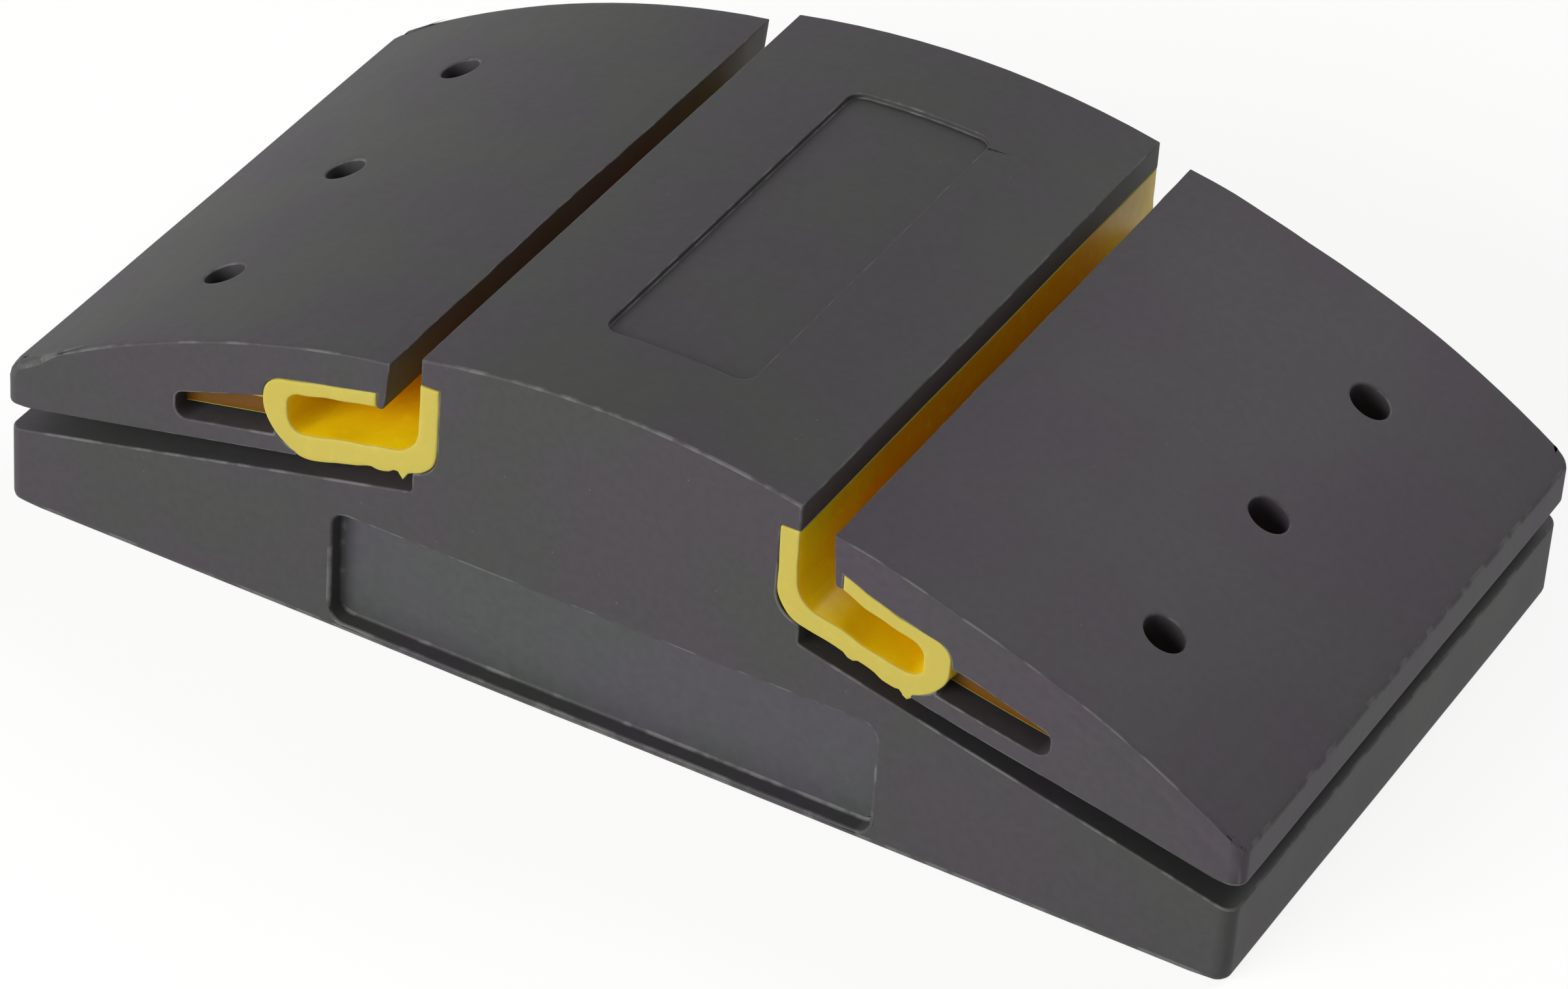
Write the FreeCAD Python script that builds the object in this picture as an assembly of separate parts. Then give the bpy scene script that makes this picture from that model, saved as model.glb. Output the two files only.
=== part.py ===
import FreeCAD, Part
import math
import os
from FreeCAD import Placement, Rotation, Vector

# Rubber hand sanding block with sprung end flaps.
#
# A strip of abrasive lies under the flat sole, turns up round both ends and goes into a slit at
# each end. The flap above the slit is held to the centre block only by a springy plastic channel,
# which works as its hinge. Nails in the flap go down through the strip into the rubber below it.
#
# X runs along the block, Y across it and Z up. The origin is on the sole, at its middle.
# The right-hand end is modelled and the left-hand end is its mirror image.
# All sizes are in millimetres. Thicknesses of sloping walls are measured straight up.

# --- the block ---
block_length = 130.0          # along the sole
block_width = 70.0            # as wide as the abrasive strip
crown_height = 36.4           # sole to the top of the palm crown
crown_radius = 94.0           # arch of the centre block's top
core_length = 39.5            # centre block, from slot to slot
end_corner_radius = 1.5       # upright corners at the ends

# --- the slit for the abrasive ---
slit_end_height = 8.3         # floor of the slit above the sole, at the end face
slit_inner_height = 19.2      # floor of the slit above the sole, at its blind end
slit_blind_offset = 0.55      # blind end, outboard of the centre block's wall
slit_blind_radius = 0.4
hinge_gap = 2.1               # slit floor to the underside of the hinge channel
jaw_gap = 2.0                 # slit floor to the flap's jaw, at the jaw's inner edge
mouth_gap = 2.85              # slit floor to the flap's jaw, at the end face

# --- the hinge channel, a J in section, with a tongue inside the flap ---
leg_thickness = 2.0
leg_cover = 2.9               # rubber of the centre block above the leg
floor_thickness = 2.35
end_thickness = 2.7
lip_thickness = 1.55
channel_opening = 4.4         # clear height inside the channel
channel_reach = 16.85         # its rounded end, outboard of the centre block's wall
heel_radius = 3.4             # outside corner under the leg
heel_relief = 0.5             # the pocket's corner is this much sharper than the heel
toe_radius = 4.6              # outside, lower corner of the rounded end
brow_radius = 2.4             # outside, upper corner of the rounded end
inner_radius = 1.6            # inside corners of the rounded end
inner_heel_radius = 3.0       # inside corner at the foot of the leg
tongue_thickness = 2.0
tongue_setback = 2.0          # tongue's edges, in from the block's sides
tongue_margin = 4.3           # tongue beyond the nails

# --- the flap ---
slot_width = 3.35             # open slot between centre block and flap, at the top
slot_wall_lean = 0.5          # the flap's slot wall is this much further out at its foot
lip_cover = 0.75              # rubber over the end of the channel's lip
nose_radius = 0.4
flap_step = 1.0               # flap's inner edge, below the line of the crown
flap_radius = 105.0           # arch of the flap's top
flap_end_height = 15.15       # top of the flap's outer edge above the sole
flap_overhang = 0.35          # flap's outer edge, beyond the sole
jaw_inset = 3.8               # jaw's inner edge, in from the channel's rounded end
jaw_thickness = 2.7           # rubber between the slit and the tongue
mouth_land = 2.2              # level strip along the mouth of the slit
window_sill = 1.95            # rubber under the side window
window_length = 9.6           # outboard of the channel's rounded end
window_inner_height = 4.3
window_outer_height = 2.85
window_depth = 5.0
window_radius = 1.1

# --- the nails ---
nail_from_end = 16.3          # nail at the tongue, in from the end of the sole
nail_spacing = 21.2           # from nail to nail across the block
nail_diameter = 1.4
nail_head_diameter = 3.2
nail_head_edge = 0.35
nail_head_height = 0.9
nail_grip = 3.0               # nail below the floor of the slit
nail_point = 2.4              # tapered end of the nail
nail_fit = 0.02               # radial clearance round the shank
access_hole_diameter = 4.0    # through the flap's top, over each nail
prick_clearance = 1.1         # radial, round the nail in the rubber below the slit
prick_spare_depth = 1.8       # below the nail's point

# --- the moulded recesses ---
grip_length = 57.6            # finger recess in each side
grip_sill = 0.9               # rubber under the finger recess
grip_height = 12.4
grip_depth = 1.95
grip_radius = 1.5
plate_length = 47.4           # shallow plate recess in the crown, across the block
plate_width = 15.2
plate_depth = 0.6
plate_radius = 1.6

# --- places worked out from the sizes ---
half_length = block_length / 2
half_width = block_width / 2
core_half = core_length / 2
leg_outer_x = core_half - leg_thickness
slit_blind_x = core_half + slit_blind_offset
toe_x = core_half + channel_reach
channel_end_x = toe_x - end_thickness
slot_wall_top_x = core_half + slot_width
slot_wall_foot_x = slot_wall_top_x + slot_wall_lean
lip_end_x = slot_wall_foot_x + lip_cover
jaw_x = toe_x - jaw_inset
window_end_x = toe_x + window_length
nail_x = half_length - nail_from_end
tongue_end_x = nail_x + tongue_margin
flap_end_x = half_length + flap_overhang
BEYOND = 5.0                  # how far cutting tools reach past what they cut


def crown(x):
    """Height of the crown's arch."""
    return crown_height - crown_radius + math.sqrt(crown_radius ** 2 - x ** 2)


def slit_floor(x):
    """Height of the slit's floor."""
    slope = (slit_end_height - slit_inner_height) / (half_length - slit_blind_x)
    return slit_inner_height + slope * (x - slit_blind_x)


def jaw(x):
    """Height of the flap's jaw, the roof of the slit."""
    share = (x - jaw_x) / (half_length - jaw_x)
    return slit_floor(x) + jaw_gap + share * (mouth_gap - jaw_gap)


def underside(x):
    """Height of the channel's underside."""
    return slit_floor(x) + hinge_gap


def channel_floor(x):
    """Height of the floor inside the channel."""
    return underside(x) + floor_thickness


def lip_underside(x):
    """Height of the channel's roof, under its lip."""
    return channel_floor(x) + channel_opening


def lip_top(x):
    """Height of the top of the channel's lip."""
    return lip_underside(x) + lip_thickness


def tongue_floor(x):
    """Height of the tongue's underside."""
    return jaw(x) + jaw_thickness


def tongue_top(x):
    """Height of the tongue's top, which the nail heads sit on."""
    return tongue_floor(x) + tongue_thickness


def corner(x, z, rounding=0.0, bow=0.0):
    """A corner of an outline: its rounding, and the radius of an arch that leads to the next one."""
    return Vector(x, 0, z), rounding, bow


def joining_edge(start, end, bow):
    """A straight edge, or an arch of radius bow that rises above it."""
    if not bow:
        return Part.LineSegment(start, end).toShape()
    chord = end - start
    rise = bow - math.sqrt(bow ** 2 - chord.Length ** 2 / 4)
    upward = Vector(-chord.z, 0, chord.x).normalize()
    if upward.z < 0:
        upward = -upward
    return Part.Arc(start, (start + end) / 2 + upward * rise, end).toShape()


def outline(corners):
    """Closed wire in the XZ plane, with rounded corners."""
    count = len(corners)
    entries, exits, arcs = [], [], []
    for index, (point, rounding, bow) in enumerate(corners):
        entries.append(point)
        exits.append(point)
        arcs.append(None)
        if rounding:
            back = (corners[index - 1][0] - point).normalize()
            ahead = (corners[(index + 1) % count][0] - point).normalize()
            half_angle = back.getAngle(ahead) / 2
            inward = (back + ahead).normalize()
            run = rounding / math.tan(half_angle)
            middle = point + inward * (rounding / math.sin(half_angle) - rounding)
            entries[index] = point + back * run
            exits[index] = point + ahead * run
            arcs[index] = Part.Arc(entries[index], middle, exits[index]).toShape()
    edges = []
    for index, (point, rounding, bow) in enumerate(corners):
        if arcs[index]:
            edges.append(arcs[index])
        edges.append(joining_edge(exits[index], entries[(index + 1) % count], bow))
    return Part.Wire(edges)


def slab(corners, y_low, y_high):
    """The outline as a solid that runs across the block."""
    face = Part.Face(outline(corners))
    face.translate(Vector(0, y_low, 0))
    return face.extrude(Vector(0, y_high - y_low, 0))


def upright_block(length, width, radius, z_low, z_high):
    """A rectangle in plan with rounded corners, as a solid that stands up."""
    x, y = length / 2, width / 2
    rectangle = [corner(-x, -y, radius), corner(x, -y, radius), corner(x, y, radius), corner(-x, y, radius)]
    block = Part.Face(outline(rectangle)).extrude(Vector(0, z_high - z_low, 0))
    block.rotate(Vector(0, 0, 0), Vector(1, 0, 0), 90)
    block.translate(Vector(0, 0, z_low))
    return block


def mirrored(shape):
    """The same shape at the other end of the block."""
    return shape.mirror(Vector(0, 0, 0), Vector(1, 0, 0))


def nail_rows():
    """Y of each nail, from front to back."""
    return {"front": -nail_spacing, "middle": 0.0, "back": nail_spacing}


def nail_lean():
    """Lean of the nails in degrees: they stand square to the tongue."""
    return math.degrees(math.atan2(tongue_top(jaw_x) - tongue_top(nail_x), nail_x - jaw_x))


def shank_length():
    """From the tongue's top to the nail's point."""
    return (tongue_top(nail_x) - slit_floor(nail_x)) / math.cos(math.radians(nail_lean())) + nail_grip


def along_nails(tool):
    """A tool made about the Z axis, copied to every nail of the right-hand flap."""
    copies = []
    for y in nail_rows().values():
        copy = tool.copy()
        copy.Placement = Placement(Vector(nail_x, y, tongue_top(nail_x)), Rotation(Vector(0, 1, 0), nail_lean()))
        copies.append(copy)
    return Part.makeCompound(copies)


def make_nail(y):
    """Tack with a domed head; its head sits on the tongue."""
    head_radius, shank_radius = nail_head_diameter / 2, nail_diameter / 2
    rise = nail_head_height - nail_head_edge
    dome_radius = (head_radius ** 2 + rise ** 2) / (2 * rise)
    half_section = [
        corner(0, nail_head_height, bow=dome_radius),
        corner(head_radius, nail_head_edge),
        corner(head_radius, 0),
        corner(shank_radius, 0),
        corner(shank_radius, nail_point - shank_length()),
        corner(0, -shank_length()),
    ]
    nail = Part.Face(outline(half_section)).revolve(Vector(0, 0, 0), Vector(0, 0, 1), 360)
    nail.Placement = Placement(Vector(nail_x, y, tongue_top(nail_x)), Rotation(Vector(0, 1, 0), nail_lean()))
    return nail


def shank_holes():
    """Holes for the shanks, through the tongue and the jaw."""
    radius = nail_diameter / 2 + nail_fit
    return along_nails(Part.makeCylinder(radius, shank_length(), Vector(0, 0, -shank_length())))


def access_holes():
    """Holes from the flap's top down to the tongue."""
    return along_nails(Part.makeCylinder(access_hole_diameter / 2, crown_height))


def prick_holes():
    """Holes below the slit, where the nails end."""
    radius = nail_diameter / 2 + prick_clearance
    depth = shank_length() + prick_spare_depth
    return along_nails(Part.makeCylinder(radius, depth, Vector(0, 0, -depth)))


def grip_recess(side):
    """Finger recess in the side at Y = side times half the width."""
    x, z = grip_length / 2, grip_sill + grip_height
    recess = [corner(-x, grip_sill, grip_radius), corner(x, grip_sill, grip_radius),
              corner(x, z, grip_radius), corner(-x, z, grip_radius)]
    depths = sorted([side * (half_width - grip_depth), side * (half_width + BEYOND)])
    return slab(recess, *depths)


def plate_recess():
    """Shallow recess that follows the crown, in place of a maker's plate."""
    plan = upright_block(plate_width, plate_length, plate_radius, crown(plate_width) - BEYOND, crown_height + BEYOND)
    floor_axis = Vector(0, -block_width, crown_height - crown_radius)
    below = Part.makeCylinder(crown_radius - plate_depth, 2 * block_width, floor_axis, Vector(0, 1, 0))
    return plan.cut(below)


def make_core():
    """Sole and centre block, one moulding."""
    half = slab([
        corner(0, 0),
        corner(half_length, 0),
        corner(half_length, slit_end_height),
        corner(slit_blind_x, slit_floor(slit_blind_x), slit_blind_radius),
        corner(slit_blind_x, underside(slit_blind_x)),
        corner(leg_outer_x, underside(leg_outer_x), heel_radius - heel_relief),
        corner(leg_outer_x, crown(core_half) - leg_cover),
        corner(core_half, crown(core_half) - leg_cover),
        corner(core_half, crown(core_half), bow=crown_radius),
        corner(0, crown_height),
    ], -half_width, half_width)
    half = half.cut(prick_holes())
    core = half.fuse(mirrored(half)).removeSplitter()
    core = core.common(upright_block(block_length, block_width, end_corner_radius, -BEYOND, crown_height + BEYOND))
    for tool in (grip_recess(-1), grip_recess(1), plate_recess()):
        core = core.cut(tool)
    return core


def channel_section():
    """Corners of the J, from the top of its leg round to the end of its lip and back inside."""
    leg_top = crown(core_half) - leg_cover
    return [
        corner(leg_outer_x, leg_top),
        corner(leg_outer_x, underside(leg_outer_x), heel_radius),
        corner(toe_x, underside(toe_x), toe_radius),
        corner(toe_x, lip_top(toe_x), brow_radius),
        corner(lip_end_x, lip_top(lip_end_x)),
        corner(lip_end_x, lip_underside(lip_end_x)),
        corner(channel_end_x, lip_underside(channel_end_x), inner_radius),
        corner(channel_end_x, channel_floor(channel_end_x), inner_radius),
        corner(core_half, channel_floor(core_half), inner_heel_radius),
        corner(core_half, leg_top),
    ]


def make_tongue():
    """Flat tongue that carries the nails inside the flap."""
    tongue_half = half_width - tongue_setback
    return slab([
        corner(channel_end_x, tongue_floor(channel_end_x)),
        corner(tongue_end_x, tongue_floor(tongue_end_x)),
        corner(tongue_end_x, tongue_top(tongue_end_x)),
        corner(channel_end_x, tongue_top(channel_end_x)),
    ], -tongue_half, tongue_half)


def make_channel():
    """Springy channel that hinges the flap, with its tongue."""
    channel = slab(channel_section(), -half_width, half_width)
    beyond_inside = slab([
        corner(toe_x - end_thickness / 2, 0),
        corner(flap_end_x, 0),
        corner(flap_end_x, crown_height),
        corner(toe_x - end_thickness / 2, crown_height),
    ], -half_width, half_width)
    channel = channel.fuse(make_tongue().common(beyond_inside)).removeSplitter()
    return channel.cut(shank_holes())


def channel_space():
    """The whole space that the channel takes inside the flap, its hollow included."""
    return slab([
        corner(lip_end_x, underside(lip_end_x)),
        corner(toe_x, underside(toe_x), toe_radius),
        corner(toe_x, lip_top(toe_x), brow_radius),
        corner(lip_end_x, lip_top(lip_end_x)),
    ], -half_width, half_width)


def window_recess(side):
    """Oblong window in the side at Y = side times half the width."""
    inner_x = toe_x - brow_radius / 2
    sill_in, sill_out = jaw(inner_x) + window_sill, jaw(window_end_x) + window_sill
    window = [corner(inner_x, sill_in), corner(window_end_x, sill_out, window_radius),
              corner(window_end_x, sill_out + window_outer_height, window_radius),
              corner(inner_x, sill_in + window_inner_height)]
    depths = sorted([side * (half_width - window_depth), side * (half_width + BEYOND)])
    return slab(window, *depths)


def make_flap():
    """Rubber flap, with the jaw that closes on the abrasive."""
    flap = slab([
        corner(slot_wall_top_x, crown(slot_wall_top_x) - flap_step, bow=flap_radius),
        corner(flap_end_x, flap_end_height),
        corner(flap_end_x, jaw(half_length)),
        corner(half_length - mouth_land, jaw(half_length - mouth_land / 2)),
        corner(jaw_x, jaw(jaw_x)),
        corner(jaw_x, lip_underside(jaw_x)),
        corner(lip_end_x, lip_underside(lip_end_x)),
        corner(slot_wall_foot_x, lip_underside(lip_end_x), nose_radius),
    ], -half_width, half_width)
    plan_length = block_length + 2 * flap_overhang
    flap = flap.common(upright_block(plan_length, block_width, end_corner_radius, -BEYOND, crown_height + BEYOND))
    for tool in (channel_space(), make_tongue(), window_recess(-1), window_recess(1), access_holes(), shank_holes()):
        flap = flap.cut(tool)
    return flap


def main():
    os.makedirs("parts", exist_ok=True)
    pieces = {"core_block": make_core()}
    end = {"flap": make_flap(), "hinge_channel": make_channel()}
    for row, y in nail_rows().items():
        end["nail_" + row] = make_nail(y)
    for name, shape in end.items():
        pieces["right_" + name] = shape
        pieces["left_" + name] = mirrored(shape)
    for name, shape in pieces.items():
        solid = shape.Solids[0]
        if len(shape.Solids) != 1 or not solid.isValid():
            raise ValueError(f"{name} is not one valid solid")
        solid.exportStep(f"parts/{name}.step")
        box = solid.BoundBox
        print(f"{name}: {solid.Volume:.0f} mm3, X {box.XMin:.2f} to {box.XMax:.2f}, "
              f"Y {box.YMin:.2f} to {box.YMax:.2f}, Z {box.ZMin:.2f} to {box.ZMax:.2f}")
    print(f"nails lean {nail_lean():.1f} degrees and are {shank_length():.1f} mm long")


main()
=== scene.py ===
# %% [markdown]
# # A rubber hand sanding block
#
# The block is a domed lump of black rubber that fits the palm. At each end a rubber flap closes a
# thin slit, where the end of an abrasive strip is tucked in. A springy yellow plastic channel holds
# each flap to the block and is its hinge, and three nails in the flap pin the strip down.
#
# Every piece starts as a copy of its CAD solid, so all sizes are already right. What CAD leaves out
# is what makes a moulded rubber thing look real: edges that are a little round, walls that a hand
# fitted unevenly, paler edges, from wear and a painted highlight, beads of flash, and dust. This script adds
# those.

# %% Tools and the frame
import math
import bmesh
import bpy
import numpy as np
from mathutils import Matrix, Vector, noise
from mathutils.bvhtree import BVHTree


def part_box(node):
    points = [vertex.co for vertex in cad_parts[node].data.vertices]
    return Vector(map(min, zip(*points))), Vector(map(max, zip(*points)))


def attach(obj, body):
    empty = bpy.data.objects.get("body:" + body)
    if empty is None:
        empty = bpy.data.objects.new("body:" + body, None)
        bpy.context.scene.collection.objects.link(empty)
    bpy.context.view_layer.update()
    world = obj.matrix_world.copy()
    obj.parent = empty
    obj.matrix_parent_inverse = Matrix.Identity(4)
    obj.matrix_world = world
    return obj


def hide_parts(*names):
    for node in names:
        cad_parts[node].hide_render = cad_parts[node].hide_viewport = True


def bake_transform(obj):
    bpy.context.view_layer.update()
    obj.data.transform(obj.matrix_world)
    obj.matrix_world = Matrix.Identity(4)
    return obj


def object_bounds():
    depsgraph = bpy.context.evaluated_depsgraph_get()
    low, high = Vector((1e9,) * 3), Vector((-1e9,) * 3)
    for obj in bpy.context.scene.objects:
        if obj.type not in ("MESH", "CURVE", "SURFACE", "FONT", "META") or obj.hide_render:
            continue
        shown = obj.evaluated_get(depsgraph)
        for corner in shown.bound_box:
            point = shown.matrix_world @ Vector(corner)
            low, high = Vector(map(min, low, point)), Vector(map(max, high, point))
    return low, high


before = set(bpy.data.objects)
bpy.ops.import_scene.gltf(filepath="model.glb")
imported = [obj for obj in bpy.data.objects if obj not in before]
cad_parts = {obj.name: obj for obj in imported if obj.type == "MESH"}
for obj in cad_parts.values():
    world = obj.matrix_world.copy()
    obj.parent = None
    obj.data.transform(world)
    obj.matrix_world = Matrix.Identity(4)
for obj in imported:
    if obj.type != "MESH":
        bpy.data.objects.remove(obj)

MM = 0.001
scene = bpy.context.scene
cad_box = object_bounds()
print("CAD box in mm:", [[round(c / MM, 2) for c in corner] for corner in cad_box])

# %% [markdown]
# ## Sizes that the frame gives
#
# A finish can only sit right if it knows where the pieces are. The boxes of the CAD nodes say so:
# half the block's length and width, its height, where the flap starts, and how far the flap and the
# channel reach. Sizes that no box gives are typed in where they are needed: here the channel's leg
# and reach, and the line that its floor follows.

# %% Places read from the frame
half_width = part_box("core_block")[1].y
half_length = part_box("core_block")[1].x
crown_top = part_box("core_block")[1].z
channel_low, channel_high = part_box("right_hinge_channel")
flap_low, flap_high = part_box("right_flap")
LEG_THICKNESS = 2.0 * MM
CHANNEL_REACH = 16.85 * MM
FLOOR_START_X = 20.3 * MM
FLOOR_START_Z = 21.0 * MM
FLOOR_SLOPE = 0.2457
core_wall = channel_low.x + LEG_THICKNESS
channel_end = core_wall + CHANNEL_REACH
slot_wall = flap_low.x
print(f"centre block's wall at {core_wall / MM:.2f} mm, flap starts at {slot_wall / MM:.2f} mm")

# %% [markdown]
# ## Camera
#
# The block is seen from the right and the front, from well above, through a long lens, so the far
# end looks hardly smaller than the near one. The camera also leans a few degrees to one side. It
# could be aimed with a constraint, but three plain vectors (right, up, back) say exactly where it
# looks, and the lean is a turn of the first two.

# %% Camera
CAMERA_TARGET = Vector((0.07, 0.0, 5.77)) * MM
CAMERA_DISTANCE = 657.15 * MM
CAMERA_AZIMUTH = math.radians(26.873)
CAMERA_ELEVATION = math.radians(36.549)
CAMERA_LEAN = math.radians(4.235)
SENSOR_WIDTH = 36.0
LENS = 158.55

flat = math.cos(CAMERA_ELEVATION)
back = Vector((math.sin(CAMERA_AZIMUTH) * flat, -math.cos(CAMERA_AZIMUTH) * flat,
               math.sin(CAMERA_ELEVATION)))
level_right = Vector((0, 0, 1)).cross(back).normalized()
level_up = back.cross(level_right)
right = level_right * math.cos(CAMERA_LEAN) + level_up * math.sin(CAMERA_LEAN)
up = back.cross(right)
camera_data = bpy.data.cameras.new("camera")
camera_data.sensor_width = SENSOR_WIDTH
camera_data.lens = LENS
camera_data.clip_start = 0.05
camera_data.clip_end = 20.0
camera = bpy.data.objects.new("camera", camera_data)
turn = Matrix((right, up, back)).transposed().to_4x4()
camera.matrix_world = Matrix.Translation(CAMERA_TARGET + back * CAMERA_DISTANCE) @ turn
scene.collection.objects.link(camera)
scene.camera = camera
print("camera at", [round(c, 4) for c in camera.matrix_world.translation])

# %% [markdown]
# ## Nodes in a few words
#
# A procedural material is a small graph. A few helpers keep the graphs short. The first adds a node
# and fills its sockets, with a number, a colour or another node's output. The second maps a range of
# values to another, which is how a noise becomes a mask. Marks are placed by position in the scene,
# in metres, so a texture's scale is one over the size of its marks.


# %% Helpers for node graphs
def add(tree, kind, inputs=None, **settings):
    """A new node of the tree, with its settings and its inputs given by name or number."""
    node = tree.nodes.new(kind)
    for name, value in settings.items():
        setattr(node, name, value)
    for name, value in (inputs or {}).items():
        socket = node.inputs[name]
        if isinstance(value, bpy.types.NodeSocket):
            tree.links.new(value, socket)
        else:
            socket.default_value = value
    return node


def ranged(tree, value, low, high, to_low=0.0, to_high=1.0):
    """The value's share between low and high, as a number from to_low to to_high."""
    inputs = {"Value": value, "From Min": low, "From Max": high, "To Min": to_low, "To Max": to_high}
    return add(tree, "ShaderNodeMapRange", inputs, interpolation_type="SMOOTHSTEP").outputs["Result"]


def mixed(tree, share, first, second):
    """A colour between the first and the second."""
    node = add(tree, "ShaderNodeMix", {0: share}, data_type="RGBA")
    for socket, value in ((node.inputs[6], first), (node.inputs[7], second)):
        if isinstance(value, bpy.types.NodeSocket):
            tree.links.new(value, socket)
        else:
            socket.default_value = (*value, 1.0)
    return node.outputs[2]


def product(tree, first, second):
    """Two values multiplied."""
    return add(tree, "ShaderNodeMath", {0: first, 1: second}, operation="MULTIPLY").outputs[0]


def new_material(name):
    """A new material with a Principled shader: the material, its tree, the shader and the position."""
    material = bpy.data.materials.new(name)
    material.use_nodes = True
    tree = material.node_tree
    shader = next(n for n in tree.nodes if n.type == "BSDF_PRINCIPLED")
    place = add(tree, "ShaderNodeNewGeometry").outputs["Position"]
    return material, tree, shader, place


def per_mm(size):
    """The scale of a texture whose marks are about this many millimetres across."""
    return 1 / (size * MM)


print("texture scale for marks of 1 mm:", round(per_mm(1)))

# %% [markdown]
# ## Floor, light and background
#
# The block stands on a plain pale floor under soft studio light: one large softbox in front, low
# enough to light the side, and one high behind, which lays a broad sheen on the right-hand flap.
# The floor could be a plain white sheet, but then the lamps would have to be turned up until it
# clips, and the rubber would turn grey. So the camera, mirrors and glass, and nothing else, see part
# of the floor's white as light of its own. The rest is lit, so the block still stands in its own
# soft shadow.

# %% Floor and world
FLOOR_REACH = 6.0
FLOOR_GLOW_SHARE = 0.7
FLOOR_GLOW = 1.2
WORLD_LIGHT = 0.16
FLOOR_CLEARANCE = 0.02 * MM


def camera_share(tree):
    """1 for rays from the camera, a mirror or glass, and 0 for light that falls on things."""
    path = add(tree, "ShaderNodeLightPath")
    seen = add(tree, "ShaderNodeMath", {0: path.outputs["Is Camera Ray"], 1: path.outputs["Is Glossy Ray"]},
               operation="MAXIMUM")
    return add(tree, "ShaderNodeMath", {0: seen.outputs[0], 1: path.outputs["Is Transmission Ray"]},
               operation="MAXIMUM").outputs[0]


def make_floor():
    """A wide pale sheet under the block. Part of its white is there for camera, mirrors and glass only."""
    mesh = bpy.data.meshes.new("floor")
    corners = [(x * FLOOR_REACH, y * FLOOR_REACH, 0) for x, y in ((-1, -1), (1, -1), (1, 1), (-1, 1))]
    mesh.from_pydata(corners, [], [(0, 1, 2, 3)])
    floor = bpy.data.objects.new("floor", mesh)
    floor.location.z = cad_box[0].z - FLOOR_CLEARANCE
    scene.collection.objects.link(floor)
    material, tree, shader, _ = new_material("pale floor")
    shader.inputs["Base Color"].default_value = (0.8, 0.8, 0.8, 1)
    shader.inputs["Roughness"].default_value = 1.0
    shader.inputs["Specular IOR Level"].default_value = 0.0
    glow = add(tree, "ShaderNodeEmission", {"Color": (1.0, 1.0, 0.995, 1), "Strength": FLOOR_GLOW})
    share = product(tree, camera_share(tree), FLOOR_GLOW_SHARE)
    both = add(tree, "ShaderNodeMixShader", {0: share, 1: shader.outputs[0], 2: glow.outputs[0]})
    tree.links.new(both.outputs[0], tree.nodes["Material Output"].inputs["Surface"])
    mesh.materials.append(material)


def make_world():
    """Soft light from all round, and a white background."""
    world = bpy.data.worlds.new("studio")
    world.use_nodes = True
    tree = world.node_tree
    lit = tree.nodes["Background"]
    lit.inputs["Color"].default_value = (1, 1, 1, 1)
    lit.inputs["Strength"].default_value = WORLD_LIGHT
    seen = add(tree, "ShaderNodeBackground", {"Color": (1, 1, 1, 1), "Strength": 1.0})
    both = add(tree, "ShaderNodeMixShader", {0: camera_share(tree), 1: lit.outputs[0], 2: seen.outputs[0]})
    tree.links.new(both.outputs[0], tree.nodes["World Output"].inputs["Surface"])
    scene.world = world


make_floor()
make_world()
scene.view_settings.view_transform = "Standard"
print("floor and background made")


# %% Softboxes
SOFTBOX_DISTANCE = 1.1


def make_softbox(name, azimuth, elevation, size, power):
    """A rectangular area lamp that faces the block from that direction."""
    lamp = bpy.data.lights.new(name, "AREA")
    lamp.shape = "RECTANGLE"
    lamp.size, lamp.size_y = size
    lamp.energy = power
    a, e = math.radians(azimuth), math.radians(elevation)
    direction = Vector((math.sin(a) * math.cos(e), -math.cos(a) * math.cos(e), math.sin(e)))
    holder = bpy.data.objects.new(name, lamp)
    facing = direction.to_track_quat("Z", "Y").to_matrix().to_4x4()
    holder.matrix_world = Matrix.Translation(direction * SOFTBOX_DISTANCE) @ facing
    scene.collection.objects.link(holder)


make_softbox("front softbox", -22, 19, (0.9, 0.6), 13.0)
make_softbox("back softbox", 158, 46, (0.6, 0.5), 3.5)
print("two softboxes hung")

# %% [markdown]
# ## Black rubber
#
# Moulded rubber is never one flat black. The skin of the mould leaves a faint grain, oils and
# pigment make it a little purple here and a little green there, and fine dust sticks to it. The
# material could carry all of this as painted images, but noise of the right size does it for every
# face at once and needs no unwrapping. The rounded edges get a second, paler finish from the same
# recipe: partly wear where the skin was cut or the mould halves met, partly a painted highlight
# where light catches the edge.


# %% Rubber finishes
DUST = (0.42, 0.41, 0.38)
# Colour of the paler edge patches: wear, and a painted highlight.
WORN_AND_HIGHLIT_RUBBER = (0.21, 0.21, 0.205)


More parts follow.
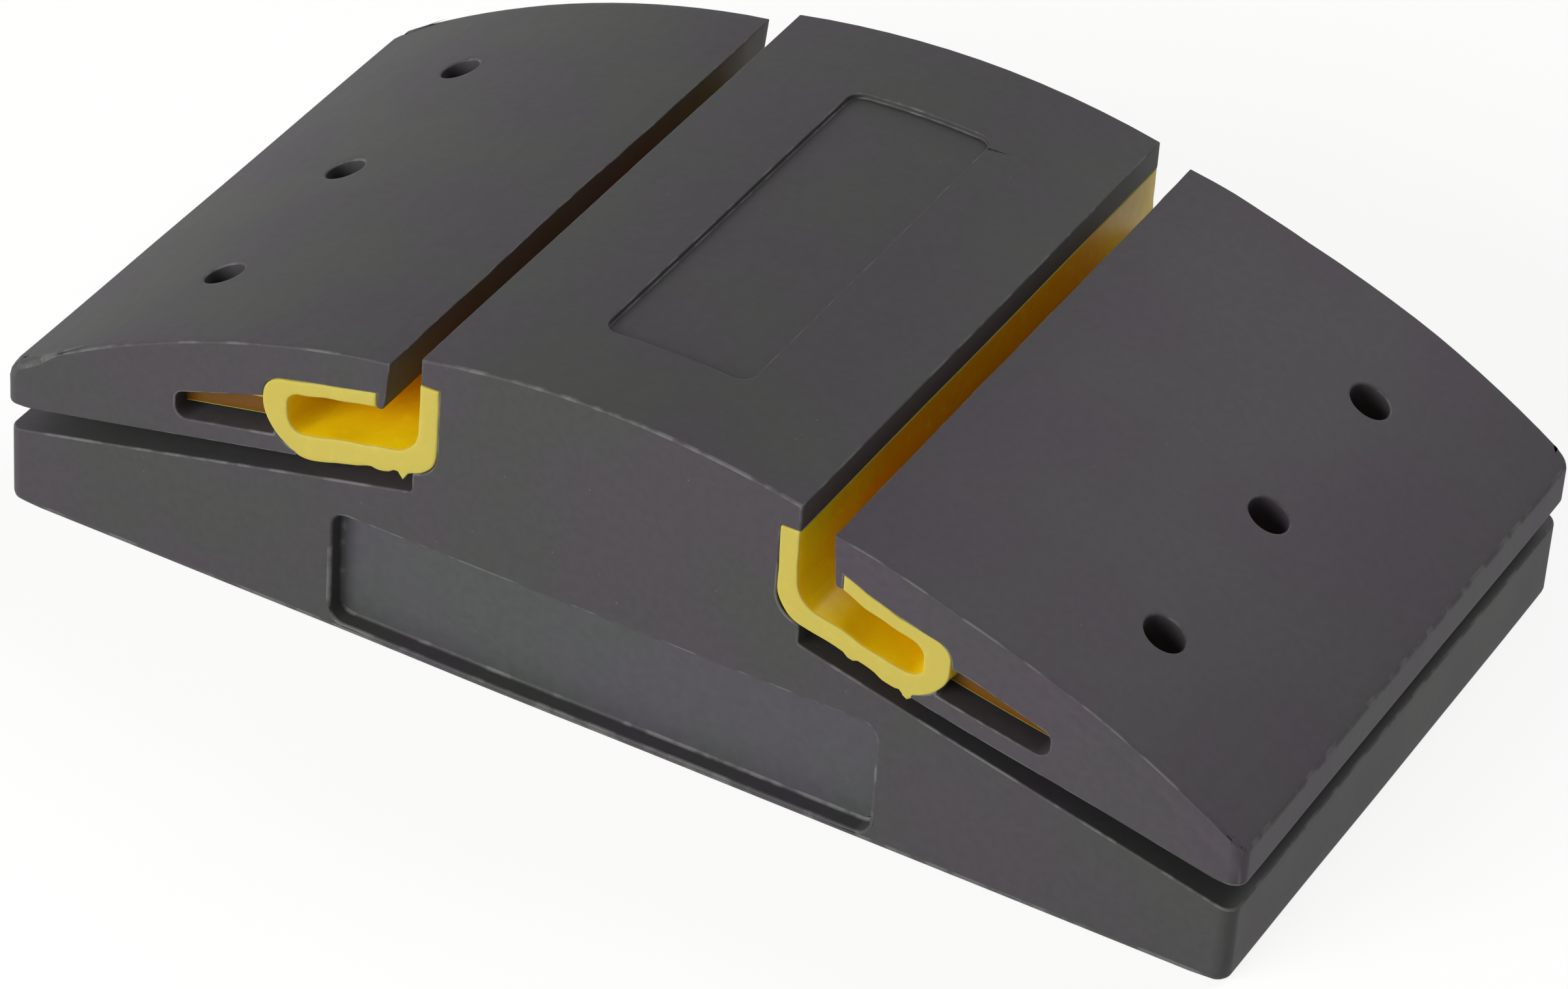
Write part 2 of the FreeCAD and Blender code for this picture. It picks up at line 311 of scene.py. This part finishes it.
def make_rubber(name, tint, roughness, grain=1.0, wear_and_highlight=0.0):
    """Black rubber: mottled, grained and dusty. The last argument is how much paler its edge patches are,
    from wear and a painted highlight.
    """
    material, tree, shader, place = new_material(name)
    clouds = add(tree, "ShaderNodeTexNoise", {"Vector": place, "Scale": per_mm(16), "Detail": 3.0})
    warm_share = ranged(tree, clouds.outputs["Fac"], 0.4, 0.6)
    warm = tuple(c * f for c, f in zip(tint, (1.05, 0.97, 1.08)))
    cool = tuple(c * f for c, f in zip(tint, (0.95, 1.03, 0.94)))
    colour = mixed(tree, warm_share, cool, warm)
    speckle = add(tree, "ShaderNodeTexNoise", {"Vector": place, "Scale": per_mm(0.9), "Detail": 4.0})
    fine = ranged(tree, speckle.outputs["Fac"], 0.3, 0.7)
    colour = mixed(tree, product(tree, fine, 0.35), colour, tuple(c * 1.35 for c in tint))
    # Paler patches on the edge finish: wear, and a painted highlight.
    if wear_and_highlight:  # paler patches where the edge is worn
        patches = add(tree, "ShaderNodeTexNoise", {"Vector": place, "Scale": per_mm(2.6), "Detail": 6.0})
        worn_and_highlit = product(tree, ranged(tree, patches.outputs["Fac"], 0.46, 0.62), wear_and_highlight)
        colour = mixed(tree, worn_and_highlit, colour, WORN_AND_HIGHLIT_RUBBER)
    cells = add(tree, "ShaderNodeTexVoronoi", {"Vector": place, "Scale": per_mm(1.7)})
    chosen = add(tree, "ShaderNodeSeparateColor", {0: cells.outputs["Color"]})
    near = ranged(tree, cells.outputs["Distance"], 0.016, 0.032, 1.0, 0.0)
    lucky = ranged(tree, chosen.outputs[0], 0.72, 0.76)
    dust = product(tree, product(tree, near, lucky), 0.55)
    colour = mixed(tree, dust, colour, DUST)
    tree.links.new(colour, shader.inputs["Base Color"])
    tree.links.new(ranged(tree, clouds.outputs["Fac"], 0.3, 0.7, roughness - 0.015, roughness + 0.015),
                   shader.inputs["Roughness"])
    shader.inputs["Specular IOR Level"].default_value = 0.25
    skin = add(tree, "ShaderNodeTexNoise", {"Vector": place, "Scale": per_mm(0.28), "Detail": 3.0})
    dents = add(tree, "ShaderNodeTexNoise", {"Vector": place, "Scale": per_mm(3.5), "Detail": 2.0})
    low = add(tree, "ShaderNodeBump", {"Height": dents.outputs["Fac"], "Strength": 1.0,
                                       "Distance": 0.03 * MM})
    high = add(tree, "ShaderNodeBump", {"Height": skin.outputs["Fac"], "Strength": 1.0,
                                        "Distance": 0.006 * MM * grain, "Normal": low.outputs[0]})
    tree.links.new(high.outputs[0], shader.inputs["Normal"])
    return material


rubber = make_rubber("black rubber", (0.047, 0.044, 0.046), 0.56)
# A lighter, more purple copy for the right flap: a painted sheen, for the light that lies on its top.
rubber_right_painted_sheen = make_rubber("black rubber of the right flap", (0.054, 0.046, 0.054), 0.56)
# The edge finish is paler, partly from wear, partly as a painted highlight where light catches the rounded
# edges.
edge_rubber_with_highlight = make_rubber("rubbed rubber edge", (0.054, 0.051, 0.052), 0.6, 1.5, 0.4)
rubber_grip = make_rubber("smooth rubber in the finger grip", (0.059, 0.058, 0.062), 0.5, 0.7)
print("rubber finishes:", [finish.name for finish in (rubber, rubber_right_painted_sheen, edge_rubber_with_highlight, rubber_grip)])

# %% [markdown]
# ## Yellow plastic
#
# The channel is a springy cast plastic that lets light in. Its cut ends look pale and chalky, the
# surface just inside glows yellow, and deep in the channel the same plastic turns orange, because less
# light gets there and what does has passed through more of it. Light that scatters under the surface
# does part of that, and a painted shade, orange that deepens with the depth from the open ends, does the
# rest.


# %% Yellow finishes
def make_yellow(name, near, deep, reach, roughness):
    """Cast yellow plastic that turns from one colour to another with depth from the sides."""
    material, tree, shader, place = new_material(name)
    parts = add(tree, "ShaderNodeSeparateXYZ", {0: place})
    across = add(tree, "ShaderNodeMath", {0: parts.outputs["Y"]}, operation="ABSOLUTE").outputs[0]
    wander = add(tree, "ShaderNodeTexNoise", {"Vector": place, "Scale": per_mm(7), "Detail": 2.0})
    shift = ranged(tree, wander.outputs["Fac"], 0.3, 0.7, -1.5 * MM, 1.5 * MM)
    depth = add(tree, "ShaderNodeMath", {0: across, 1: shift}, operation="ADD").outputs[0]
    # Painted shade: the colour darkens to the orange one with depth in from the open ends.
    depth_shade = ranged(tree, depth, half_width - reach, half_width - 0.5 * MM, 1.0, 0.0)
    colour = mixed(tree, depth_shade, near, deep)
    blotches = add(tree, "ShaderNodeTexNoise", {"Vector": place, "Scale": per_mm(1.4), "Detail": 4.0})
    pale = product(tree, ranged(tree, blotches.outputs["Fac"], 0.5, 0.75), 0.22)
    colour = mixed(tree, pale, colour, tuple(min(1.0, c * 1.25 + 0.02) for c in near))
    tree.links.new(colour, shader.inputs["Base Color"])
    shader.inputs["Roughness"].default_value = roughness
    shader.inputs["Specular IOR Level"].default_value = 0.25
    shader.inputs["Subsurface Weight"].default_value = 0.35
    shader.inputs["Subsurface Radius"].default_value = (1.0, 0.55, 0.12)
    shader.inputs["Subsurface Scale"].default_value = 2.0 * MM
    lumps = add(tree, "ShaderNodeTexNoise", {"Vector": place, "Scale": per_mm(1.8), "Detail": 3.0})
    bump = add(tree, "ShaderNodeBump", {"Height": lumps.outputs["Fac"], "Strength": 1.0,
                                        "Distance": 0.05 * MM})
    tree.links.new(bump.outputs[0], shader.inputs["Normal"])
    return material


yellow = make_yellow("yellow plastic", (0.90, 0.66, 0.004), (0.84, 0.36, 0.001), 16 * MM, 0.35)
# Pale finish of the sawn ends. It is also the last finish, on the channel's rounded edges, where it is a
# painted highlight.
yellow_cut_and_highlight = make_yellow("cut yellow plastic, also painted highlight on edges", (0.50, 0.41, 0.075), (0.50, 0.41, 0.075), 4 * MM, 0.6)
# The tongue inside the flap is the same yellow plastic, painted dark orange for the shade it lies in.
painted_shade_yellow = make_yellow("amber plastic of the tongue", (0.13, 0.052, 0.001), (0.13, 0.052, 0.001), 4 * MM, 0.4)
print("yellow finishes:", [finish.name for finish in (yellow, yellow_cut_and_highlight, painted_shade_yellow)])

# %% [markdown]
# ## Brass
#
# The nails are plain tacks with a dull brass skin. Only the heads show, far down in their holes.

# %% Brass finish
TARNISH = (0.38, 0.26, 0.11)
brass, tree, shader, place = new_material("dull brass")
tarnish = add(tree, "ShaderNodeTexNoise", {"Vector": place, "Scale": per_mm(0.8), "Detail": 5.0})
spots = ranged(tree, tarnish.outputs["Fac"], 0.4, 0.65)
tree.links.new(mixed(tree, spots, (0.78, 0.60, 0.30), TARNISH), shader.inputs["Base Color"])
shader.inputs["Metallic"].default_value = 1.0
tree.links.new(ranged(tree, tarnish.outputs["Fac"], 0.3, 0.7, 0.22, 0.45), shader.inputs["Roughness"])
pits = add(tree, "ShaderNodeBump", {"Height": tarnish.outputs["Fac"], "Strength": 1.0,
                                    "Distance": 0.02 * MM})
tree.links.new(pits.outputs[0], shader.inputs["Normal"])
print("brass finish:", brass.name)

# %% [markdown]
# ## From a CAD solid to a moulded piece
#
# The CAD mesh is exact, but it is made of triangles, and its edges are razor sharp. Three steps turn
# it into something that a bevel can work on. Corners that lie in the same place are welded, faces
# that lie in one plane are merged, and every edge that turns sharply is given the radius that the
# mould had there. The bevel modifier reads one weight per edge, so a fine rim and a broad corner can
# meet on one piece. The bevelled strips get the edge finish, which is the last in a piece's list and
# is paler: a painted highlight along the edge, with wear on the rubber.


# %% Clean copy and rounded edges
SHARP = math.radians(28)
FLAT = math.radians(0.4)
SAME_PLACE = 1e-6
WIDEST = 2.0 * MM


def clean_copy(node):
    """The CAD node's mesh with its corners welded and its flat faces merged."""
    shape = bmesh.new()
    shape.from_mesh(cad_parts[node].data)
    bmesh.ops.remove_doubles(shape, verts=shape.verts, dist=SAME_PLACE)
    bmesh.ops.dissolve_limit(shape, angle_limit=FLAT, verts=shape.verts, edges=shape.edges)
    return shape


def rounded_piece(name, node, radius_at, finishes, face_finish=None):
    """A copy of the node with rounded edges. radius_at gives each sharp edge's radius from its middle."""
    shape = clean_copy(node)
    if face_finish:
        for face in shape.faces:
            face.material_index = face_finish(face.calc_center_median(), face.normal)
    mesh = bpy.data.meshes.new(name)
    weight = shape.edges.layers.float.new("bevel_weight_edge")
    for edge in shape.edges:
        if edge.calc_face_angle(0) > SHARP:
            middle = (edge.verts[0].co + edge.verts[1].co) / 2
            edge[weight] = radius_at(middle) / WIDEST
    shape.to_mesh(mesh)
    shape.free()
    for finish in finishes:
        mesh.materials.append(finish)
    piece = bpy.data.objects.new(name, mesh)
    scene.collection.objects.link(piece)
    bevel = piece.modifiers.new("rounded edges", "BEVEL")
    bevel.limit_method = "WEIGHT"
    bevel.width = WIDEST
    bevel.segments = 3
    bevel.use_clamp_overlap = False
    # The bevelled strips take the last finish, which is paler: a painted highlight along each edge.
    bevel.material = len(finishes) - 1
    apply_modifiers(piece)
    return piece


def apply_modifiers(piece):
    """The piece's mesh as its modifiers leave it, with no modifier left."""
    bpy.context.view_layer.update()
    evaluated = piece.evaluated_get(bpy.context.evaluated_depsgraph_get())
    mesh = bpy.data.meshes.new_from_object(evaluated)
    old = piece.data
    piece.modifiers.clear()
    piece.data = mesh
    mesh.name = piece.name
    bpy.data.meshes.remove(old)


print(f"edges that turn more than {math.degrees(SHARP):.0f} degrees are rounded")

# %% [markdown]
# ## Slices, so that a straight wall can wander
#
# A long flat wall has corners only at its ends, so it can't be uneven. Cutting the mesh with a
# comb of planes, like slicing bread along X, Y and Z, gives it points everywhere without changing
# its shape. Subdividing could do it too, but it needs four-sided faces, and a bevelled CAD copy
# has many that aren't.


# %% Slicing and shading
CREASE = math.radians(40)


def slice_up(piece, axis, places):
    """Cuts the mesh with a plane square to the axis at each place."""
    shape = bmesh.new()
    shape.from_mesh(piece.data)
    normal = Vector([float(i == axis) for i in range(3)])
    for place in places:
        everything = shape.verts[:] + shape.edges[:] + shape.faces[:]
        bmesh.ops.bisect_plane(shape, geom=everything, plane_co=normal * place, plane_no=normal, dist=1e-7)
    shape.to_mesh(piece.data)
    shape.free()


def comb(low, high, step):
    """Evenly spaced places strictly between low and high, about step apart."""
    count = max(2, round((high - low) / step))
    return [low + (high - low) * i / count for i in range(1, count)]


def reshape(piece, move):
    """Moves every point of the mesh by what move says, all points at once."""
    points = np.zeros(len(piece.data.vertices) * 3)
    piece.data.vertices.foreach_get("co", points)
    points = points.reshape(-1, 3)
    points += move(points)
    piece.data.vertices.foreach_set("co", points.ravel())
    piece.data.update()


def shade(piece):
    """Smooth shading that keeps flat faces flat and sharp edges sharp."""
    piece.data.shade_smooth()
    piece.data.set_sharp_from_angle(angle=CREASE)
    weighted = piece.modifiers.new("flat faces stay flat", "WEIGHTED_NORMAL")
    weighted.keep_sharp = True
    weighted.weight = 100
    print(f"{piece.name}: {len(piece.data.polygons)} faces")


def drift(points, size, seed):
    """Smooth noise at each point, about -1 to 1, whose swells are about that size."""
    offset = Vector((seed * 7.3, seed * 3.1, seed * 5.7))
    return np.array([noise.noise(Vector(p) / size + offset) for p in points])


def ease(values, low, high):
    """A share that goes smoothly from 0 at low to 1 at high. Either of the two may be the larger."""
    share = np.clip((values - low) / (high - low), 0, 1)
    return share * share * (3 - 2 * share)


print("a 10 mm wall is cut at", [round(place / MM, 1) for place in comb(0, 10 * MM, 2.5 * MM)], "mm")

# %% [markdown]
# ## Nothing is quite straight
#
# Rubber comes out of its mould a little warm and settles as it cools. The same slow drift moves the
# centre block, the flaps and the channels, by about a tenth of a millimetre at most, so pieces that
# touch still touch. What leaves the CAD box is pressed back to it: looks never make the part larger.


# %% Settling and staying in the box
SWELL = 24 * MM


def settled(points):
    """How far each point moves in the slow drift that all pieces share."""
    return np.stack([drift(points, SWELL, seed) * 0.09 * MM for seed in (1, 2, 3)], axis=1)


def kept_in_box(points):
    """How far each point outside the CAD box moves to come back to the box's faces."""
    return np.clip(points, np.array(cad_box[0]), np.array(cad_box[1])) - points


print("drift at the top of the crown in mm:", (settled(np.array([[0, 0, crown_top]])) / MM).round(3)[0])

# %% [markdown]
# ## Centre block
#
# The centre block and the sole are one moulding. It could be drawn again as an outline and pushed
# through, but its CAD solid already holds the slit floors, the pockets, the finger grips and the
# bare plate in the crown. So it is rounded instead: wide at the sole, where it wears, narrow at the
# crown, where flash was trimmed, and soft round the finger grips.

# %% Centre block
GRIP_DEPTH = 1.95 * MM
GRIP_HALF_LENGTH = 30 * MM
GRIP_TOP = 14 * MM
CROWN_EDGE = 30 * MM
EDGE_BAND = 2 * MM
CORE_SLICE = 2.5 * MM
SQUARE_ON = 0.9


def core_radius(middle):
    """How round each edge of the centre block is."""
    on_sole = middle.z < 0.3 * MM
    by_grip = abs(middle.x) < GRIP_HALF_LENGTH and middle.z < GRIP_TOP
    at_side = abs(middle.y) > half_width - EDGE_BAND
    if on_sole:
        return 0.75 * MM if abs(middle.x) > half_length - EDGE_BAND else 0.45 * MM
    if by_grip:
        return 0.4 * MM if middle.z > EDGE_BAND else 0.28 * MM
    if middle.z > CROWN_EDGE:
        return 0.28 * MM if at_side else 0.14 * MM
    return 0.2 * MM


def core_finish(middle, normal):
    """1, the smooth finish, on the floor of a finger grip, and 0 elsewhere."""
    faces_sideways = abs(normal.y) > SQUARE_ON
    sunk = abs(middle.y) < half_width - 0.9 * GRIP_DEPTH and middle.z < GRIP_TOP
    return 1 if faces_sideways and sunk else 0


core = rounded_piece("core_block_rubber", "core_block", core_radius,
                     [rubber, rubber_grip, edge_rubber_with_highlight], core_finish)
for axis, (low, high) in enumerate(((-half_length, half_length), (-half_width, half_width), (0, crown_top))):
    slice_up(core, axis, comb(low, high, CORE_SLICE))
reshape(core, settled)
reshape(core, kept_in_box)
shade(core)
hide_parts("core_block")
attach(core, "block")

# %% [markdown]
# ## Flaps
#
# Each flap holds its plastic tongue, and no two flaps come out alike. The left one has a softer outer
# edge. The right one has a valley along its front, under the top edge, and both wander at the slot.
# The copies are warped after they are rounded, which a CAD model couldn't do easily and a comb of
# slices makes simple.


# %% Flap shapes
CHANNEL_SHORT = 1.0 * MM
LIP_DROP = 0.6 * MM
FLAP_SLICE = 1.0 * MM
FINE_SLICE = 0.5 * MM


def flap_radius(side):
    """How round each edge of that flap is."""
    outer_edge = 1.25 * MM if side == "left" else 0.35 * MM

    def radius(middle):
        if abs(middle.x) > half_length - 1.2 * MM and middle.z > 13 * MM:
            return outer_edge
        if abs(middle.x) < slot_wall + 1.2 * MM:
            return 0.12 * MM
        if middle.z < 12 * MM:
            return 0.28 * MM
        return 0.18 * MM
    return radius


def top_line(piece, y):
    """Heights of the piece's top along X at that Y, as a function of x."""
    corners = [vertex.co for vertex in piece.data.vertices]
    tree = BVHTree.FromPolygons(corners, [face.vertices for face in piece.data.polygons])
    low, high = (f([corner.x for corner in corners]) for f in (min, max))
    xs = np.linspace(low + 0.01 * MM, high - 0.01 * MM, 60)
    hits = [tree.ray_cast(Vector((x, y, 2 * crown_top)), Vector((0, 0, -1)))[0] for x in xs]
    known = [(x, hit.z) for x, hit in zip(xs, hits) if hit]
    return lambda x: np.interp(x, *zip(*known))


def right_end_fit(points):
    """How the right end differs: the channel stops short, and the mouth above its lip sits lower."""
    x, z = points[:, 0], points[:, 2]
    shorter = ease(x, 26 * MM, 34 * MM) * ease(x, 52 * MM, 38 * MM) * CHANNEL_SHORT
    over_lip = ease(x, 24 * MM, 27 * MM) * ease(x, 40 * MM, 34 * MM)
    lower = over_lip * ease(z, 20 * MM, 24 * MM) * ease(z, 30 * MM, 27 * MM)
    return np.stack([-shorter, np.zeros(len(x)), -LIP_DROP * lower], axis=1)


def front_valley(top):
    """A shallow valley along the front of the flap, under its top edge, deeper towards the outer end."""
    def move(points):
        x, y, z = points.T
        on_front = ease(y, -half_width + 0.6 * MM, -half_width + 0.3 * MM)
        centre = np.interp(x, [34 * MM, half_length], [1.3 * MM, 3.3 * MM])
        below = top(x) - z
        valley = np.exp(-((below - centre) / (0.8 * MM)) ** 2) * ease(x, 30 * MM, 44 * MM)
        lip = np.exp(-((below - 0.35 * MM) / (0.25 * MM)) ** 2) * 0.4
        depth = (valley + lip) * 0.32 * MM * on_front
        return np.stack([np.zeros(len(x)), depth, np.zeros(len(x))], axis=1)
    return move


def ragged_slot(side):
    """The flap's slot edge wanders, as a hand-trimmed edge does."""
    sign = -1 if side == "left" else 1

    def move(points):
        x, y, z = points.T
        near = ease(np.abs(x), slot_wall + 2.5 * MM, slot_wall + 0.5 * MM) * ease(z, 26 * MM, 29 * MM)
        along = np.stack([y * 0 + sign, y, y * 0], axis=1)
        wave = 0.16 * drift(along, 9 * MM, 5) + 0.07 * drift(along, 2.2 * MM, 6)
        return np.stack([sign * near * wave * MM, np.zeros(len(x)), near * 0.5 * wave * MM], axis=1)
    return move


def make_flap(side):
    """One rubber flap, rounded, fitted and uneven."""
    sign = -1 if side == "left" else 1
    # The right flap gets the lighter copy of the rubber, a painted sheen.
    flap = rounded_piece(f"{side}_flap_rubber", f"{side}_flap", flap_radius(side),
                         [rubber if side == "left" else rubber_right_painted_sheen, edge_rubber_with_highlight])
    ends = sorted((sign * slot_wall, sign * flap_high.x))
    slice_up(flap, 0, comb(*ends, FLAP_SLICE))
    slice_up(flap, 1, comb(-half_width, half_width, FLAP_SLICE))
    slice_up(flap, 2, comb(flap_low.z, flap_high.z, FINE_SLICE))
    if side == "right":
        reshape(flap, front_valley(top_line(flap, -half_width + 3 * MM)))
        reshape(flap, right_end_fit)
    reshape(flap, ragged_slot(side))
    reshape(flap, settled)
    reshape(flap, kept_in_box)
    shade(flap)
    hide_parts(f"{side}_flap")
    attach(flap, f"{side}_clamp")


for side in ("left", "right"):
    make_flap(side)

# %% [markdown]
# ## Hinge channels
#
# The channel was cast as a long J and sawn to the block's width, so its ends are matt and pale with
# a lumpy outline, and beads of flash hang under its floor. It crosses the joint: its leg is stuck in
# the centre block and its lip is in the flap. So it doesn't ride on one body: it is attached to neither.

# %% Channels
SAWN_BAND = 0.5 * MM
BEADS_START = 20.4 * MM
BEADS_END = 36 * MM
# For each bead: how far out it hangs, its half width and its depth, in millimetres.
BEADS = {"left": ((23.5, 1.0, 0.35), (31.5, 3.6, 0.5), (21.3, 0.45, 0.9), (27.0, 1.2, 0.12)),
         "right": ((25.6, 0.5, 0.35), (30.0, 1.3, 0.3), (32.4, 0.6, 0.8), (34.5, 1.4, 0.35))}


def channel_radius(middle):
    """The sawn ends are a little rounder than the rest."""
    return 0.22 * MM if abs(middle.y) > half_width - SAWN_BAND else 0.12 * MM


def channel_finish(middle, normal):
    """1, pale, on the sawn ends, 2, painted shade, on the tongue inside the flap, and 0 elsewhere."""
    if abs(normal.y) > SQUARE_ON and abs(middle.y) > half_width - SAWN_BAND:
        return 1
    return 2 if abs(middle.x) > channel_end + 0.5 * MM else 0


def hanging_beads(side):
    """The move that hangs beads of flash under the channel's floor, at its front end."""
    def move(points):
        x, y, z = points.T
        reach = np.abs(x)
        at_end = ease(y, -half_width + 2.2 * MM, -half_width + 0.4 * MM)
        drop = np.zeros(len(x))
        for centre, width, depth in BEADS[side]:
            drop += depth * MM * np.exp(-((reach - centre * MM) / (width * MM)) ** 4)
        from_floor = z - (FLOOR_START_Z - FLOOR_SLOPE * (reach - FLOOR_START_X))
        under = ease(from_floor, 1.7 * MM, 0.5 * MM) * (reach < BEADS_END) * (reach > BEADS_START)
        return np.stack([np.zeros(len(x)), np.zeros(len(x)), -drop * at_end * under], axis=1)
    return move


def sawn_lumps(points):
    """How far each point moves to make the outline of the sawn ends lumpy."""
    x, y, z = points.T
    at_end = ease(np.abs(y), half_width - 1.5 * MM, half_width)
    amounts = [drift(points * [1, 0, 1], 2.6 * MM, seed) * 0.17 * MM for seed in (11, 12)]
    return np.stack([amounts[0] * at_end, np.zeros(len(x)), amounts[1] * at_end], axis=1)


def make_channel(side):
    """One springy channel, lumpy at its sawn ends, between block and flap."""
    sign = -1 if side == "left" else 1
    # The last finish, on the rounded edges, is the pale cut one, as a painted highlight.
    channel = rounded_piece(f"{side}_hinge_channel_plastic", f"{side}_hinge_channel", channel_radius,
                            [yellow, yellow_cut_and_highlight, painted_shade_yellow, yellow_cut_and_highlight], channel_finish)
    slice_up(channel, 0, comb(*sorted((sign * channel_low.x, sign * channel_high.x)), FINE_SLICE))
    slice_up(channel, 1, comb(-half_width, half_width, 1.4 * MM))
    for end in (-1, 1):
        slice_up(channel, 1, [end * (half_width - step * MM) for step in (0.3, 0.6, 1.0, 1.8)])
    slice_up(channel, 2, comb(channel_low.z, channel_high.z, FINE_SLICE))
    reshape(channel, sawn_lumps)
    reshape(channel, hanging_beads(side))
    if side == "right":
        reshape(channel, right_end_fit)
    reshape(channel, settled)
    reshape(channel, kept_in_box)
    shade(channel)
    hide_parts(f"{side}_hinge_channel")
    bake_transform(channel)


for side in ("left", "right"):
    make_channel(side)

# %% [markdown]
# ## Nails
#
# The tacks are round turned shapes, and their CAD solids are already right, so they keep their
# meshes. They only get their brass and smooth shading.

# %% Nails
for name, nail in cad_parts.items():
    if "nail" in name:
        nail.data.materials.clear()
        nail.data.materials.append(brass)
        nail.data.shade_smooth()
        nail.data.set_sharp_from_angle(angle=CREASE)
print("nails finished:", sum("nail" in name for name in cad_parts))
